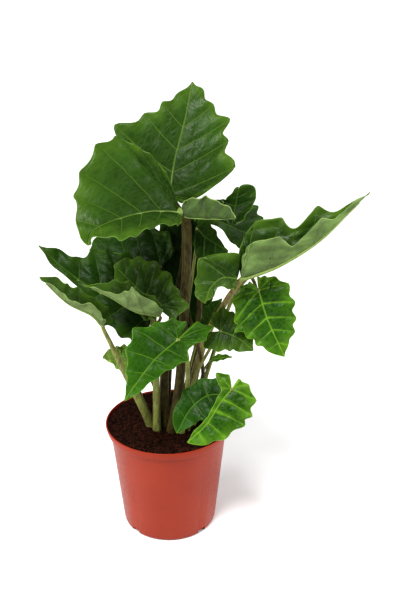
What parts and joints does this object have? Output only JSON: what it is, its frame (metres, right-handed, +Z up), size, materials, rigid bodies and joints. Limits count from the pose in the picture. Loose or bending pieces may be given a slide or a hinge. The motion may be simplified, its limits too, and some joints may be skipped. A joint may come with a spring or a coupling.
{
  "type": "potted alocasia",
  "caption": "Foliage plant with broad, toothed, folded leaves on fleshy stalks, growing from soil in a round tapered nursery pot with a lipped rim.",
  "frame": {"origin": "middle of the pot's flat underside, on the ground", "axes": "+Z up along the pot's axis, +X to the right and -Y towards the side the plant is seen from"},
  "size_m": [0.4138, 0.226, 0.5917],
  "materials": {
    "leaf_back_centre_green": "satin living leaf with raised veins",
    "leaf_back_left_green": "satin living leaf with raised veins",
    "leaf_back_right_green": "satin living leaf with raised veins",
    "leaf_back_small_green": "satin living leaf with raised veins",
    "leaf_curl_green": "satin living leaf with raised veins",
    "leaf_folded_green": "satin living leaf with raised veins",
    "leaf_front_green": "satin living leaf with raised veins",
    "leaf_inner_green": "satin living leaf with raised veins",
    "leaf_inner_small_green": "satin living leaf with raised veins",
    "leaf_left_broad_green": "satin living leaf with raised veins",
    "leaf_left_lobe_green": "satin living leaf with raised veins",
    "leaf_left_long_green": "satin living leaf with raised veins",
    "leaf_left_low_green": "satin living leaf with raised veins",
    "leaf_lower_dark_green": "satin living leaf with raised veins",
    "leaf_pale_green": "satin living leaf with raised veins",
    "leaf_right_bright_green": "satin living leaf with raised veins",
    "leaf_right_lobe_green": "satin living leaf with raised veins",
    "leaf_right_long_green": "satin living leaf with raised veins",
    "leaf_rim_bright_green": "satin living leaf with raised veins",
    "leaf_rim_dark_green": "satin living leaf with raised veins",
    "leaf_sliver_green": "satin living leaf with raised veins",
    "leaf_top_green": "satin living leaf with raised veins",
    "pot_terracotta": "satin terracotta-coloured injection moulding",
    "soil_dark": "crumbly peat-based potting soil",
    "stalk_back_centre_green": "smooth fleshy stalk",
    "stalk_back_left_green": "smooth fleshy stalk",
    "stalk_back_right_green": "smooth fleshy stalk",
    "stalk_back_small_green": "smooth fleshy stalk",
    "stalk_folded_green": "smooth fleshy stalk",
    "stalk_front_green": "smooth fleshy stalk",
    "stalk_inner_green": "smooth fleshy stalk",
    "stalk_inner_small_green": "smooth fleshy stalk",
    "stalk_left_broad_green": "smooth fleshy stalk",
    "stalk_left_long_green": "smooth fleshy stalk",
    "stalk_left_low_green": "smooth fleshy stalk",
    "stalk_lower_dark_green": "smooth fleshy stalk",
    "stalk_pale_green": "smooth fleshy stalk",
    "stalk_right_bright_green": "smooth fleshy stalk",
    "stalk_right_long_green": "smooth fleshy stalk",
    "stalk_rim_bright_green": "smooth fleshy stalk",
    "stalk_rim_dark_green": "smooth fleshy stalk",
    "stalk_sliver_green": "smooth fleshy stalk",
    "stalk_top_green": "smooth fleshy stalk"
  },
  "bodies": {
    "root": {"leaf_back_centre": "leaf_back_centre_green", "leaf_back_left": "leaf_back_left_green", "leaf_back_right": "leaf_back_right_green", "leaf_back_small": "leaf_back_small_green", "leaf_curl": "leaf_curl_green", "leaf_folded": "leaf_folded_green", "leaf_front": "leaf_front_green", "leaf_inner": "leaf_inner_green", "leaf_inner_small": "leaf_inner_small_green", "leaf_left_broad": "leaf_left_broad_green", "leaf_left_lobe": "leaf_left_lobe_green", "leaf_left_long": "leaf_left_long_green", "leaf_left_low": "leaf_left_low_green", "leaf_lower_dark": "leaf_lower_dark_green", "leaf_pale": "leaf_pale_green", "leaf_right_bright": "leaf_right_bright_green", "leaf_right_lobe": "leaf_right_lobe_green", "leaf_right_long": "leaf_right_long_green", "leaf_rim_bright": "leaf_rim_bright_green", "leaf_rim_dark": "leaf_rim_dark_green", "leaf_sliver": "leaf_sliver_green", "leaf_top": "leaf_top_green", "pot": "pot_terracotta", "soil": "soil_dark", "stalk_back_centre": "stalk_back_centre_green", "stalk_back_left": "stalk_back_left_green", "stalk_back_right": "stalk_back_right_green", "stalk_back_small": "stalk_back_small_green", "stalk_folded": "stalk_folded_green", "stalk_front": "stalk_front_green", "stalk_inner": "stalk_inner_green", "stalk_inner_small": "stalk_inner_small_green", "stalk_left_broad": "stalk_left_broad_green", "stalk_left_long": "stalk_left_long_green", "stalk_left_low": "stalk_left_low_green", "stalk_lower_dark": "stalk_lower_dark_green", "stalk_pale": "stalk_pale_green", "stalk_right_bright": "stalk_right_bright_green", "stalk_right_long": "stalk_right_long_green", "stalk_rim_bright": "stalk_rim_bright_green", "stalk_rim_dark": "stalk_rim_dark_green", "stalk_sliver": "stalk_sliver_green", "stalk_top": "stalk_top_green"}
  },
  "joints": []
}
